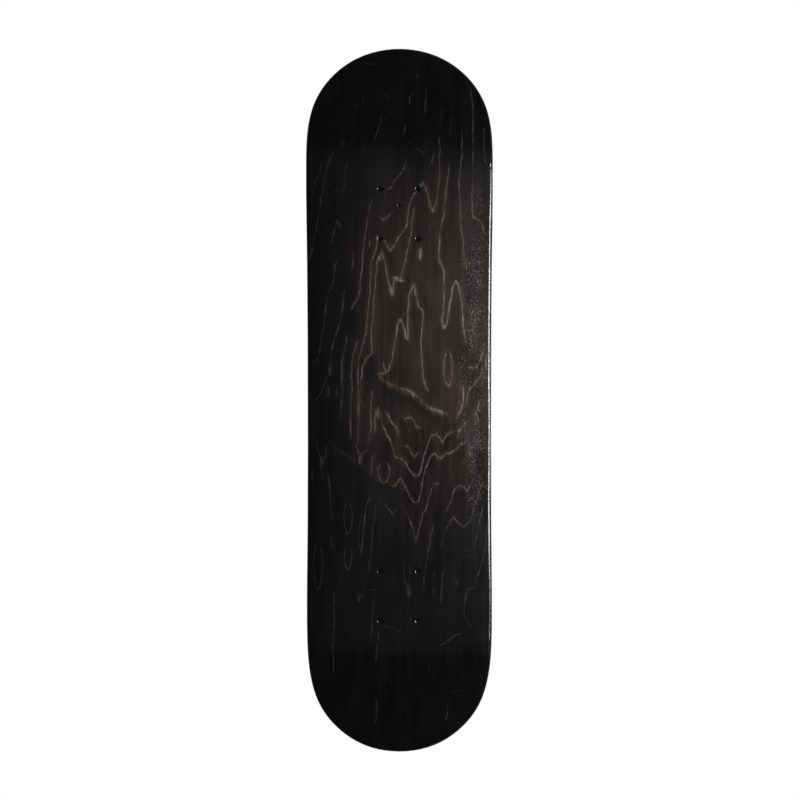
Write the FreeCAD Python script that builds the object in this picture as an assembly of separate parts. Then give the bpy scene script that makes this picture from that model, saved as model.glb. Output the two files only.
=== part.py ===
import FreeCAD, Part
import collections
import math
import os

# A skateboard deck: seven maple veneers pressed together in a curved mould, sawn to its outline,
# rounded along the edge and drilled for the trucks.
# Lengths are in millimetres and angles in degrees. X runs along the board with the nose at +X, Y
# runs across it, and +Z points out of the riding face. The origin is on the flat of the underside,
# midway between the two truck hole patterns, so the deck lies on the plane z = 0.

# The veneers, from the underside up
veneer_names = (
    "bottom_face_veneer",
    "lower_core_veneer",
    "lower_cross_veneer",
    "centre_core_veneer",
    "upper_cross_veneer",
    "upper_core_veneer",
    "top_face_veneer",
)
veneer_thickness = 1.5

# Outline, seen from above. The deck has its full width before the nose, is a little narrower before
# the tail, and has a waist between them that is narrowest a little behind the middle. Each side
# runs straight for a stretch before it turns into a tip, and the turn starts at an offset from the
# bend of the kick.
deck_width = 204.4
waist_narrowing = 3.8
tail_narrowing = 1.9
waist_place = -40.0
straight_side = 36.0
nose_curve_offset = 10.0
tail_curve_offset = -20.0

# Truck holes: two rows of two under each truck, and a small hole that tells the nose from the tail
wheelbase = 361.95
hole_row_spacing = 53.975
hole_cross_spacing = 41.275
truck_hole_diameter = 5.5
marker_hole_diameter = 3.2
marker_hole_inset = 17.8

# Kicks: a bend that starts beyond the outer truck holes, then a straight slope to the tip
bend_radius = 123.0
nose_hole_to_bend = 22.0
tail_hole_to_bend = 22.0
nose_angle = 21.0
tail_angle = 20.0
nose_slope_length = 102.9
tail_slope_length = 92.2

# Concave: a flat strip down the middle, and rails that curve up on both sides of it
flat_strip_width = 60.0
concave_depth = 8.0

# The sawn edge is rounded from both faces, which leaves a narrow flat band along its middle
edge_flat_height = 2.1

# How far the pressed sheets and the cutting shapes run past the finished wood
overrun = 12.0

# Curve of each tip: how far its first pole stands out as a share of the half width, its second as
# shares of the length back and of the half width out, and its third as a share of the length back
nose_tip_share = 0.6
nose_shoulder_shares = (0.37, 0.99)
nose_flank_share = 0.57
tail_tip_share = 0.67
tail_shoulder_shares = (0.38, 0.82)
tail_flank_share = 0.27

# How long a side keeps its direction where it leaves its straight stretch and where it is narrowest
side_start_share = 0.1
side_waist_share = 0.75

# How far the walls of a tip run on past the middle of the straight stretch, as a share of it
tip_lap_share = 0.125

# Sizes that follow from these
deck_thickness = len(veneer_names) * veneer_thickness
edge_radius = (deck_thickness - edge_flat_height) / 2
strip_half = flat_strip_width / 2
concave_reach = deck_width / 2 - strip_half
concave_radius = (concave_reach**2 + concave_depth**2) / (2 * concave_depth)
outer_hole_x = wheelbase / 2 + hole_row_spacing

along = FreeCAD.Vector(1, 0, 0)
across = FreeCAD.Vector(0, 1, 0)
up = FreeCAD.Vector(0, 0, 1)
middle = FreeCAD.Vector(0, 0, 0)

# One end of the board. Its side is 1 for the nose and -1 for the tail, and its places along the
# board are distances from the middle.
End = collections.namedtuple("End", (
    "side", "bend_x", "turn", "slope_length", "half_width", "side_end_x", "joint_x",
    "curve_offset", "tip_share", "shoulder_shares", "flank_share",
))


def board_end(side, hole_to_bend, angle, slope_length, width, curve_offset, curve_shares):
    """The sizes of the nose or the tail, with the places that follow from them."""
    bend_x = outer_hole_x + hole_to_bend
    curve_x = bend_x + curve_offset
    return End(
        side, bend_x, math.radians(angle), slope_length, width / 2,
        curve_x - straight_side, curve_x - straight_side / 2, curve_offset, *curve_shares,
    )


nose = board_end(
    1, nose_hole_to_bend, nose_angle, nose_slope_length, deck_width, nose_curve_offset,
    (nose_tip_share, nose_shoulder_shares, nose_flank_share),
)
tail = board_end(
    -1, tail_hole_to_bend, tail_angle, tail_slope_length, deck_width - tail_narrowing,
    tail_curve_offset, (tail_tip_share, tail_shoulder_shares, tail_flank_share),
)


def line(start, end):
    return Part.LineSegment(start, end).toShape()


def bezier(poles):
    """An edge along the Bezier curve of these poles, from the first of them to the last."""
    curve = Part.BezierCurve()
    curve.setPoles(poles)
    return curve.toShape()


def section_point(height, side, turn):
    """A point of the cross-section, at a height above the underside and a turn up the concave."""
    radius = concave_radius - height
    y = side * (strip_half + radius * math.sin(turn))
    z = concave_radius - radius * math.cos(turn)
    return FreeCAD.Vector(0, y, z)


def section_curve(height, end_turn):
    """The concave, the flat strip and the concave again, from one rail to the other."""
    left, right = ([section_point(height, side, end_turn * share) for share in (1, 0.5, 0)]
                   for side in (-1, 1))
    return [Part.Arc(*left).toShape(), line(left[-1], right[-1]), Part.Arc(*right).toShape()]


def section_face(low, high):
    """The cross-section of the wood between two heights, wider than the finished deck."""
    end_turn = math.asin((concave_reach + overrun) / concave_radius)
    sides = [
        line(section_point(low, side, end_turn), section_point(high, side, end_turn))
        for side in (-1, 1)
    ]
    edges = section_curve(low, end_turn) + section_curve(high, end_turn) + sides
    return Part.Face(Part.Wire(Part.__sortEdges__(edges)))


def pressed_kick(section, end):
    """The bend that carries the section up at one end of the board, and the slope beyond it."""
    start = section.translated(along * (end.side * end.bend_x))
    bend_centre = FreeCAD.Vector(end.side * end.bend_x, 0, bend_radius)
    bend_axis = across * -end.side
    bend = start.revolve(bend_centre, bend_axis, math.degrees(end.turn))
    slope_start = start.rotated(bend_centre, bend_axis, math.degrees(end.turn))
    direction = FreeCAD.Vector(end.side * math.cos(end.turn), 0, math.sin(end.turn))
    return [bend, slope_start.extrude(direction * (end.slope_length + overrun))]


def pressed_sheet(low, high):
    """The wood between two heights of the mould, bent up at both ends and along both rails."""
    section = section_face(low, high)
    flat = section.translated(along * -tail.bend_x).extrude(along * (tail.bend_x + nose.bend_x))
    return flat.fuse(pressed_kick(section, nose) + pressed_kick(section, tail)).removeSplitter()


def mirrored_face(half_edges):
    """A flat face from the edges on one side of the centre line and their mirror images."""
    other_half = [edge.mirror(middle, across) for edge in half_edges]
    return Part.Face(Part.Wire(Part.__sortEdges__(half_edges + other_half)))


def half_side(end):
    """One side of the outline, from the centre line at an end's joint round to the waist."""
    corner = FreeCAD.Vector(end.side * end.joint_x, end.half_width, 0)
    start = FreeCAD.Vector(end.side * end.side_end_x, end.half_width, 0)
    waist = FreeCAD.Vector(waist_place, (deck_width - waist_narrowing) / 2, 0)
    reach = waist.x - start.x
    curve = bezier([
        start, start + along * (reach * side_start_share),
        waist - along * (reach * side_waist_share), waist,
    ])
    return [line(FreeCAD.Vector(corner.x, 0, 0), corner), line(corner, start), curve]


def side_walls():
    """What the saw leaves between the two tips: a solid with upright walls."""
    outline = mirrored_face(half_side(nose) + half_side(tail)).translated(up * -overrun)
    return outline.extrude(up * (deck_thickness + concave_depth + 2 * overrun))


def tip_walls(end):
    """What the saw leaves at a tip: a solid whose walls stand square to the slope of the kick.

    It is drawn flat, with the start of the slope at zero, and then tilted and moved into place.
    """
    bend_reach = bend_radius * math.sin(end.turn)
    bend_rise = bend_radius * (1 - math.cos(end.turn))
    curve_start = end.curve_offset - bend_reach
    lap = straight_side * tip_lap_share
    square_end = (end.joint_x - lap - end.bend_x) * math.cos(end.turn) - bend_reach
    end_rise = -square_end * math.sin(end.turn)
    length = end.slope_length - curve_start
    shoulder_back, shoulder_out = end.shoulder_shares
    tip = FreeCAD.Vector(end.slope_length, 0, 0)
    side_start = FreeCAD.Vector(curve_start, end.half_width, 0)
    side_end = FreeCAD.Vector(square_end, end.half_width, 0)
    curve = bezier([
        tip,
        tip + across * (end.half_width * end.tip_share),
        tip - along * (length * shoulder_back) + across * (end.half_width * shoulder_out),
        tip - along * (length * end.flank_share) + across * end.half_width,
        side_start,
    ])
    half = [curve, line(side_start, side_end), line(side_end, FreeCAD.Vector(square_end, 0, 0))]
    outline = mirrored_face(half).translated(up * -overrun)
    walls = outline.extrude(up * (end_rise + deck_thickness + concave_depth + 2 * overrun))
    walls.rotate(middle, across, -math.degrees(end.turn))
    walls.translate(FreeCAD.Vector(end.bend_x + bend_reach, 0, bend_rise))
    if end.side < 0:
        walls = walls.mirror(middle, along)
    return walls


def outline_walls():
    """The whole outline as one cutting solid."""
    return side_walls().fuse([tip_walls(nose), tip_walls(tail)]).removeSplitter()


def is_wall(face):
    """Whether a face of the blank belongs to the sawn edge, not to the riding face or underside."""
    u_low, u_high, v_low, v_high = face.ParameterRange
    normal = face.normalAt((u_low + u_high) / 2, (v_low + v_high) / 2)
    return abs(normal.z) < math.sin(math.pi / 4)


def rim_edges(blank):
    """The edges where the sawn wall meets the riding face or the underside."""
    wall_edges = [edge for face in blank.Faces if is_wall(face) for edge in face.Edges]
    face_edges = [edge for face in blank.Faces if not is_wall(face) for edge in face.Edges]
    return [edge for edge in wall_edges if any(edge.isSame(other) for other in face_edges)]


def round_hole(x, y, diameter):
    """A drill through the whole stack."""
    start = FreeCAD.Vector(x, y, -overrun)
    return Part.makeCylinder(diameter / 2, deck_thickness + 2 * overrun, start, up)


def truck_holes():
    """The four holes of each truck."""
    return [
        round_hole(end * x, side * hole_cross_spacing / 2, truck_hole_diameter)
        for end in (-1, 1)
        for x in (wheelbase / 2, outer_hole_x)
        for side in (-1, 1)
    ]


def finished_stack():
    """The pressed stack, sawn, rounded and drilled, before it is told apart in veneers."""
    stack = pressed_sheet(0, deck_thickness).common(outline_walls()).removeSplitter().Solids[0]
    rounded = stack.makeFillet(edge_radius, rim_edges(stack))
    marker_hole = round_hole(outer_hole_x - marker_hole_inset, 0, marker_hole_diameter)
    return rounded.cut(truck_holes() + [marker_hole])


def veneer(stack, index):
    """One veneer of the stack, counted from the underside. The outer two take all that is left."""
    low = index * veneer_thickness
    high = low + veneer_thickness
    if index == 0:
        low = -overrun
    if index == len(veneer_names) - 1:
        high = deck_thickness + overrun
    return stack.common(pressed_sheet(low, high))


os.makedirs("parts", exist_ok=True)
stack = finished_stack()
for index, name in enumerate(veneer_names):
    shape = veneer(stack, index)
    shape.exportStep("parts/" + name + ".step")
    print(name, len(shape.Solids), "solid", round(shape.Volume), "mm3", shape.isValid())
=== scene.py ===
# %% [markdown]
# A skateboard deck, seen from below. The deck is seven sheets of maple pressed together in a mould,
# stained black and lacquered. Its shape comes ready-made as seven solids, one for each veneer, so
# this lesson is about finish: the stain, the figure of the wood, the lacquer over it, and light
# that shows black wood as black and still lets the eye read its curves.

# %% Load the deck
import math
import bpy
from mathutils import Matrix, Vector


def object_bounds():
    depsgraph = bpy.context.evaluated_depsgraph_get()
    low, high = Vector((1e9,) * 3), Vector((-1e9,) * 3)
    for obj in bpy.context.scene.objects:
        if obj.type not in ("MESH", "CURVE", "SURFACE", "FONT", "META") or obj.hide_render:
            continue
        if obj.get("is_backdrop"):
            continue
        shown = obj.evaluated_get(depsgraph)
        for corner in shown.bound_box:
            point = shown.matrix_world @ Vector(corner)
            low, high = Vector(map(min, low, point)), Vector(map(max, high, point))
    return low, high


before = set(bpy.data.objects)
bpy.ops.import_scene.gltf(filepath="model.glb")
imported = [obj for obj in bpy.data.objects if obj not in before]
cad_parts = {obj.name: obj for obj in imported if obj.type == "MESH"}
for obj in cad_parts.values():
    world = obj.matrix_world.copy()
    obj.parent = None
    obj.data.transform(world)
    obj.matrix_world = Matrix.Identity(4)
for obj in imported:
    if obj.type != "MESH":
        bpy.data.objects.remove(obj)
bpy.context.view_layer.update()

print("veneers:", ", ".join(sorted(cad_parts)))

# %% [markdown]
# The photograph looks straight up at the underside from about two metres below, with the nose at
# the top of the picture. A long lens keeps the outline free of perspective. The camera's turn is
# given by three directions: the picture's right is the deck's +Y and its top is the nose, +X.

# %% Camera
MM = 0.001
CAMERA_DISTANCE = 2200 * MM
FRAME_WIDTH = 870.8 * MM
AIM = Vector((5.4, 0.65, 0)) * MM
SENSOR_WIDTH = 36.0

camera_data = bpy.data.cameras.new("camera")
camera_data.sensor_width = SENSOR_WIDTH
camera_data.lens = SENSOR_WIDTH * CAMERA_DISTANCE / FRAME_WIDTH
camera = bpy.data.objects.new("camera", camera_data)
picture_right, picture_up, backwards = Vector((0, 1, 0)), Vector((1, 0, 0)), Vector((0, 0, -1))
camera.matrix_world = (
    Matrix.Translation(AIM + backwards * CAMERA_DISTANCE)
    @ Matrix((picture_right, picture_up, backwards)).transposed().to_4x4()
)
bpy.context.scene.collection.objects.link(camera)
bpy.context.scene.camera = camera
bpy.context.scene.view_settings.view_transform = "Standard"
print("lens in mm:", round(camera_data.lens, 2))

# %% [markdown]
# Materials and the world are node trees. One small function adds any node, with its inputs and
# settings. A second one turns the colours, written as on a web page, into the linear values that a
# renderer needs. A third starts a material.

# %% Helpers for node trees
def add(tree, kind, inputs=(), **settings):
    """Adds a node with its settings. An input is a value, an output, or a node's first output."""
    node = tree.nodes.new(kind)
    for name, value in settings.items():
        setattr(node, name, value)
    for socket, value in dict(inputs).items():
        if isinstance(value, bpy.types.Node):
            value = value.outputs[0]
        if isinstance(value, bpy.types.NodeSocket):
            tree.links.new(value, node.inputs[socket])
        else:
            node.inputs[socket].default_value = value
    return node


def colour(hex_code):
    """The linear colour of an sRGB hex code such as "#A08060"."""
    parts = [int(hex_code[i:i + 2], 16) / 255 for i in (1, 3, 5)]
    linear = [c / 12.92 if c <= 0.04045 else ((c + 0.055) / 1.055) ** 2.4 for c in parts]
    return (*linear, 1.0)


def new_material(name):
    """A material with an empty node tree, and that tree."""
    material = bpy.data.materials.new(name)
    material.use_nodes = True
    material.node_tree.nodes.clear()
    return material, material.node_tree


print("mid grey is", round(colour("#808080")[0], 3), "in linear light")

# %% [markdown]
# The deck was photographed against white, with no shadow and no floor in sight. Here the world is
# white where the camera looks at it, and dim for all other light, because black lacquer mirrors
# whatever is around it: a white room would turn the whole deck grey. The room is darker below the
# deck than above it, and grows brighter towards its ceiling, so each slope mirrors another tone.

# %% World
ROOM_ABOVE = 0.6
ROOM_BELOW = 0.05
DARK_UP_TO = -0.05

world = bpy.data.worlds.new("studio")
bpy.context.scene.world = world
world.use_nodes = True
tree = world.node_tree
tree.nodes.clear()
direction = add(tree, "ShaderNodeTexCoord").outputs["Generated"]
height = add(tree, "ShaderNodeSeparateXYZ", {0: direction}).outputs["Z"]
room = add(tree, "ShaderNodeMapRange", {
    "Value": height, "From Min": DARK_UP_TO, "From Max": 1.0,
    "To Min": ROOM_BELOW, "To Max": ROOM_ABOVE,
}, interpolation_type="SMOOTHSTEP")
seen = add(tree, "ShaderNodeLightPath").outputs["Is Camera Ray"]
strength = add(tree, "ShaderNodeMix", {"Factor": seen, "A": room, "B": 1.0}, data_type="FLOAT")
background = add(tree, "ShaderNodeBackground", {"Color": colour("#FFFFFF"), "Strength": strength})
add(tree, "ShaderNodeOutputWorld", {"Surface": background})
print("brightness of the room below and above the deck:", ROOM_BELOW, ROOM_ABOVE)

# %% [markdown]
# Seen from above, the deck rests on a pale floor that holds its shadow. Seen from below, as in the
# photograph, the floor must not be there. So its material shows only on its upper side and only to
# the camera, and is clear for everything else. It lies a hair below the underside, because two
# surfaces in one plane would flicker.

# %% Floor
FLOOR_GAP = 0.3 * MM
FLOOR_HALF = 6.0

floor_mesh = bpy.data.meshes.new("floor")
corners = [
    (x * FLOOR_HALF, y * FLOOR_HALF, -FLOOR_GAP)
    for x, y in ((-1, -1), (1, -1), (1, 1), (-1, 1))
]
floor_mesh.from_pydata(corners, [], [(0, 1, 2, 3)])
floor = bpy.data.objects.new("floor", floor_mesh)
bpy.context.scene.collection.objects.link(floor)
paper, tree = new_material("matt white paper")
from_camera = add(tree, "ShaderNodeLightPath").outputs["Is Camera Ray"]
from_below = add(tree, "ShaderNodeNewGeometry").outputs["Backfacing"]
shown = add(tree, "ShaderNodeMath", {
    0: from_camera, 1: from_below,
}, operation="SUBTRACT", use_clamp=True)
sheet = add(tree, "ShaderNodeBsdfDiffuse", {"Color": colour("#ECEBE8")})
clear = add(tree, "ShaderNodeBsdfTransparent")
surface = add(tree, "ShaderNodeMixShader", {0: shown, 1: clear, 2: sheet})
add(tree, "ShaderNodeOutputMaterial", {"Surface": surface})
floor_mesh.materials.append(paper)
floor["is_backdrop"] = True
print("floor:", 2 * FLOOR_HALF, "m wide,", FLOOR_GAP / MM, "mm below the underside")

# %% [markdown]
# Lamps. A lacquered black surface is lit by what it mirrors: its own colour sends back hardly one
# part in a hundred, the lacquer about four. So each lamp is a panel with a place and a size, and a
# brightness of its face, and its power follows from those two. The three dim glows are mirrored in
# the middle of the underside, the window in its right rail and the strip in the rounded rim. The sky
# and the panel at the back light the riding face.

# %% Lamps
def panel(name, place, aim, size, brightness, tint="#FFFFFF"):
    """A soft box that faces its aim, its first size along the board. Paper white is brightness 1."""
    lamp = bpy.data.lights.new(name, "AREA")
    lamp.shape = "RECTANGLE"
    lamp.size, lamp.size_y = size
    lamp.energy = brightness * math.pi * size[0] * size[1]
    lamp.color = colour(tint)[:3]
    box = bpy.data.objects.new(name, lamp)
    backward = (Vector(place) - Vector(aim)).normalized()
    sideways = backward.cross(picture_up).normalized()
    lengthwise = sideways.cross(backward)
    turn = Matrix((lengthwise, sideways, backward)).transposed().to_4x4()
    box.matrix_world = Matrix.Translation(place) @ turn
    box.visible_camera = False
    bpy.context.scene.collection.objects.link(box)


panel("glow", (0.20, 0.54, -2.30), (0.05, 0.05, 0), (0.32, 0.95), 0.38, "#FFEBDC")
panel("glow_skirt", (0.20, 0.45, -2.34), (0.02, 0.05, 0), (0.62, 1.5), 0.12, "#FFF6EF")
panel("glow_edge", (0.25, 0.20, -2.40), (0, 0, 0), (2.6, 2.6), 0.065)
panel("window", (0.10, 1.66, -2.20), (0, 0, 0), (0.5, 0.5), 1.8)
panel("strip_right", (0.07, 1.65, -1.03), (0.02, 0.1, 0), (0.85, 0.5), 33.0)
panel("sky", (-0.4, -0.6, 3.0), (0, 0, 0), (4.0, 4.0), 0.8)
panel("back", (0.6, 3.0, 1.2), (0, 0, 0), (2.0, 0.8), 2.0)
print("lamps:", ", ".join(lamp.name for lamp in bpy.data.lights))

# %% [markdown]
# The holes. Two rows of two take the bolts of each truck, and a small hole between the front rows
# tells the nose from the tail. Seen from below they are dark, because nothing bright lies behind
# them. A black disc in the top of each hole paints that dark in: a painted shadow. It laps a hair into
# the wood, so that no light shows round it. It is seen from below only, by the camera and by the
# glossy walls of the hole.

# %% Painted shadow in the holes
WHEELBASE = 361.95 * MM
HOLE_ROW_SPACING = 53.975 * MM
HOLE_CROSS_SPACING = 41.275 * MM
HOLE_RADIUS = 2.75 * MM
MARKER_INSET = 17.8 * MM
MARKER_RADIUS = 1.6 * MM
DISC_HEIGHT = 9.9 * MM
DISC_OVERLAP = 0.1 * MM
DISC_SIDES = 24

outer_row = WHEELBASE / 2 + HOLE_ROW_SPACING
marker_place = outer_row - MARKER_INSET
holes = [(marker_place, 0, MARKER_RADIUS)] + [
    (end * row, side * HOLE_CROSS_SPACING / 2, HOLE_RADIUS)
    for end in (-1, 1) for row in (WHEELBASE / 2, outer_row) for side in (-1, 1)
]
corners, discs = [], []
for x, y, radius in holes:
    discs.append(range(len(corners), len(corners) + DISC_SIDES))
    reach = radius + DISC_OVERLAP
    for i in range(DISC_SIDES):
        turn = 2 * math.pi * i / DISC_SIDES
        corners.append((x + reach * math.cos(turn), y + reach * math.sin(turn), DISC_HEIGHT))
disc_mesh = bpy.data.meshes.new("painted_shade_discs")
disc_mesh.from_pydata(corners, [], discs)
painted_shade_discs = bpy.data.objects.new("painted_shade_discs", disc_mesh)
bpy.context.scene.collection.objects.link(painted_shade_discs)
painted_shade_card, tree = new_material("painted shade card")
ray = add(tree, "ShaderNodeLightPath").outputs
looked_at = add(tree, "ShaderNodeMath", {
    0: ray["Is Camera Ray"], 1: ray["Is Glossy Ray"],
}, operation="MAXIMUM")
from_below = add(tree, "ShaderNodeNewGeometry").outputs["Backfacing"]
shown = add(tree, "ShaderNodeMath", {0: looked_at, 1: from_below}, operation="MULTIPLY")
# A painted shadow: a dark emission for the shaded ground that would lie behind each hole.
dark = add(tree, "ShaderNodeEmission", {"Color": colour("#0D0C0C")})
clear = add(tree, "ShaderNodeBsdfTransparent")
surface = add(tree, "ShaderNodeMixShader", {0: shown, 1: clear, 2: dark})
add(tree, "ShaderNodeOutputMaterial", {"Surface": surface})
disc_mesh.materials.append(painted_shade_card)
painted_shade_discs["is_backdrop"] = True
print("holes:", len(holes))

# %% [markdown]
# The figure of the face. A maple log is peeled like a roll of paper, so the knife grazes each year's
# ring again and again, and leaves long lines that turn back in sharp bends and close in rings. The
# stain turns the wood black, but the thin pale wood along those lines takes less of it.
#
# The lines could be noise, but then each bend would be somewhere else than on the real deck. So they
# are drawn over the photograph, in its pixels, across first and then down. A line that mostly runs
# along the board is a graph over its length, and one that zigzags across it is a graph over its
# width. The faint lines, most of them in the black of the nose and the tail, are lists of their own.

# %% Lines that run along the board
NOSE_LINES = (
    ((341, 149), (335, 150), (331, 155), (329, 162), (326, 172), (324, 184), (321, 199), (319, 213),
     (317, 225), (314, 238), (312, 250), (308, 267)),
    ((348, 160), (346, 169), (345, 181), (343, 194)),
    ((322, 160), (320, 169), (316, 181), (313, 191), (310, 202)),
    ((329, 199), (330, 207)),
    ((341, 228), (337, 221), (334, 232), (331, 248)),
    ((327, 224), (325, 235)),
    ((416, 72), (418, 81)),
    ((416, 89), (410, 97), (409, 109)),
    ((427, 83), (426, 96), (425, 112), (420, 116)),
    ((434, 152), (432, 162), (429, 168)),
    ((406, 124), (403, 136)),
    ((381, 114), (380, 124), (377, 131), (374, 143)),
    ((462, 125), (462, 155), (459, 180), (460, 199), (461, 228), (464, 245), (464, 256), (468, 272)),
    ((470, 86), (473, 111), (473, 155), (472, 209), (475, 219), (481, 221), (484, 232), (487, 238)),
    ((484, 124), (484, 141), (485, 160), (489, 169)),
)
MIDDLE_LINES = (
    ((375, 196), (372, 200), (370, 206), (366, 228), (363, 252), (362, 267), (360, 289), (358, 297),
     (354, 303), (352, 308), (350, 314)),
    ((415, 204), (412, 221), (411, 235), (407, 252), (403, 271), (400, 281), (395, 277), (392, 294),
     (390, 289), (387, 275), (385, 262), (381, 254), (377, 262), (376, 277), (374, 296), (373, 318),
     (371, 331), (372, 353), (366, 359), (362, 368), (360, 391), (359, 413), (357, 448), (360, 459)),
    ((439, 133), (440, 152), (439, 162), (440, 169), (437, 199), (433, 212), (430, 204), (427, 191),
     (423, 183), (418, 190), (412, 197), (409, 206), (407, 225), (403, 231), (398, 238), (393, 247),
     (390, 251), (387, 246), (385, 241), (378, 236), (375, 252), (371, 264), (370, 289), (368, 311),
     (366, 333), (363, 344), (360, 355), (358, 366), (358, 400), (358, 445)),
    ((406, 158), (405, 165), (403, 171), (394, 181), (391, 187), (385, 193)),
    ((430, 394), (426, 387), (423, 377), (422, 362), (421, 344), (422, 330), (423, 316), (423, 311),
     (419, 308), (417, 300), (414, 284), (412, 287), (409, 296), (408, 312), (408, 330), (407, 339),
     (406, 336), (403, 324), (400, 319), (398, 324), (396, 333), (394, 347), (392, 360), (388, 371),
     (382, 374), (379, 377)),
    ((449, 162), (448, 177), (445, 199), (444, 213), (440, 232), (439, 258), (440, 262), (443, 267),
     (444, 274), (444, 296), (443, 312), (442, 321), (444, 329), (446, 325), (448, 318), (449, 308),
     (451, 299), (452, 289), (456, 280), (458, 283), (460, 292), (462, 303), (463, 318), (464, 333),
     (465, 341)),
    ((375, 434), (375, 422), (376, 412), (378, 407)),
    ((373, 389), (371, 400), (371, 426), (370, 435), (368, 447)),
    ((383, 361), (384, 366), (386, 372)),
    ((459, 382), (463, 387), (464, 392), (463, 403), (459, 413), (456, 421)),
    ((483, 366), (481, 376), (474, 384), (469, 390), (467, 403), (462, 409)),
    ((485, 347), (481, 357), (481, 366)),
    ((480, 398), (478, 408), (473, 418)),
    ((469, 443), (470, 452), (470, 460)),
    ((373, 451), (371, 479)),
    ((385, 409), (391, 422), (396, 426), (399, 438)),
    ((457, 441), (460, 429), (466, 422), (472, 419)),
)
LEFT_LINES = (
    ((345, 256), (341, 257), (337, 260), (335, 265), (334, 277), (332, 286), (328, 293), (326, 303),
     (325, 315), (323, 327), (321, 341), (319, 352), (318, 358), (315, 363), (309, 365)),
    ((354, 248), (353, 264), (351, 272)),
    ((370, 240), (369, 248)),
    ((337, 386), (336, 400)),
    ((346, 286), (343, 296), (342, 312), (341, 321), (337, 331), (334, 338), (332, 352), (331, 359),
     (330, 374), (325, 381), (321, 393), (316, 400), (312, 404)),
    ((347, 333), (346, 344), (343, 355), (342, 362), (342, 391), (341, 421)),
    ((359, 338), (356, 346), (353, 355), (352, 362), (351, 413), (351, 441)),
    ((312, 435), (316, 440), (319, 454), (321, 463)),
    ((326, 442), (326, 454), (323, 463), (321, 470), (324, 479), (328, 488)),
    ((327, 470), (329, 476), (330, 491), (331, 506), (332, 522)),
    ((311, 468), (313, 480), (314, 494)),
)
TAIL_LINES = (
    ((371, 495), (366, 508), (364, 525), (363, 539), (361, 558)),
    ((376, 503), (373, 525), (371, 547), (369, 569), (367, 582)),
    ((434, 522), (431, 535), (429, 547), (427, 561), (424, 576), (423, 596)),
    ((435, 572), (433, 583)),
    ((447, 564), (443, 573), (442, 588), (441, 605)),
    ((484, 503), (481, 514), (478, 528), (476, 541), (473, 551)),
    ((489, 517), (487, 532), (485, 547), (482, 561), (479, 572), (476, 583), (474, 588), (468, 589),
     (466, 595), (465, 604), (464, 619)),
    ((334, 589), (334, 619), (333, 655), (334, 677)),
    ((374, 597), (372, 619), (371, 642)),
    ((379, 627), (378, 641), (375, 663)),
    ((376, 696), (377, 711), (375, 726)),
    ((448, 696), (448, 711), (445, 723)),
    ((465, 619), (470, 623), (471, 630)),
    ((357, 591), (359, 602), (361, 594)),
)
FAINT_LINES = (
    ((323, 91), (327, 95), (332, 101)),
    ((364, 92), (362, 103)),
    ((385, 93), (389, 100)),
    ((442, 104), (441, 118), (440, 131)),
    ((452, 115), (451, 127), (449, 139)),
    ((342, 139), (343, 147)),
    ((352, 140), (351, 147)),
    ((409, 140), (410, 147)),
    ((315, 153), (312, 157), (310, 162)),
    ((363, 508), (360, 522), (359, 538), (361, 556)),
    ((345, 569), (342, 574), (339, 579)),
    ((331, 530), (332, 541), (333, 553)),
    ((321, 503), (323, 513)),
    ((311, 597), (311, 612), (312, 628)),
    ((411, 614), (410, 622)),
    ((433, 583), (433, 592), (434, 603)),
    ((440, 608), (438, 620)),
    ((453, 570), (457, 585), (458, 575)),
    ((463, 553), (460, 562), (458, 570)),
    ((442, 538), (441, 550)),
    ((391, 677), (391, 688)),
    ((430, 660), (429, 672)),
)
CLEAR_LINES = NOSE_LINES + MIDDLE_LINES + LEFT_LINES + TAIL_LINES
print("lines along the board:", len(CLEAR_LINES), "clear and", len(FAINT_LINES), "faint")

# %% [markdown]
# The lines that zigzag are given from left to right. They make the peaks and valleys that
# woodworkers call cathedrals.

# %% Lines that zigzag across the board
CROSS_LINES = (
    ((377, 215), (384, 220), (390, 215), (395, 211)),
    ((334, 191), (338, 189), (341, 193), (343, 194)),
    ((477, 262), (481, 263), (485, 260)),
    ((466, 367), (472, 368), (477, 367), (482, 356)),
    ((378, 407), (380, 410), (381, 419), (383, 426), (387, 435), (391, 442), (393, 450), (395, 457),
     (401, 459), (406, 463), (409, 469), (412, 473), (415, 476), (419, 474), (421, 469), (423, 462),
     (426, 450), (429, 441), (432, 435), (437, 435), (443, 442), (447, 435), (450, 432), (456, 431)),
    ((388, 484), (393, 486), (397, 485), (398, 480), (401, 479), (406, 488), (409, 495), (412, 500),
     (416, 503), (419, 500), (421, 491), (423, 479), (425, 470), (428, 462), (431, 456), (435, 454),
     (440, 459), (445, 454), (451, 453), (461, 445), (466, 442), (470, 441)),
    ((404, 507), (408, 516), (412, 525), (414, 533), (416, 541), (418, 533), (420, 525), (423, 514),
     (427, 507), (429, 497), (432, 488), (434, 481)),
    ((385, 504), (390, 511), (393, 515), (396, 511), (397, 507)),
    ((401, 413), (404, 420), (409, 418), (413, 419), (417, 427), (420, 428), (423, 425)),
    ((377, 375), (381, 373), (387, 374)),
    ((359, 453), (365, 451), (368, 448)),
    ((433, 482), (436, 484), (440, 484)),
    ((404, 389), (408, 391), (411, 393), (417, 397)),
    ((428, 408), (433, 409), (438, 411), (443, 414)),
    ((404, 445), (409, 448), (412, 455), (415, 456), (420, 451)),
    ((444, 514), (448, 508), (453, 494), (456, 488), (460, 486), (464, 486), (467, 492), (470, 486),
     (475, 473)),
    ((442, 539), (445, 532), (450, 523), (453, 517), (459, 524), (464, 526), (469, 523), (472, 516),
     (475, 506), (478, 494), (481, 486), (486, 482)),
    ((380, 627), (387, 626), (393, 629), (403, 632)),
    ((437, 646), (443, 644), (448, 641), (454, 636), (463, 633)),
)
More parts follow.
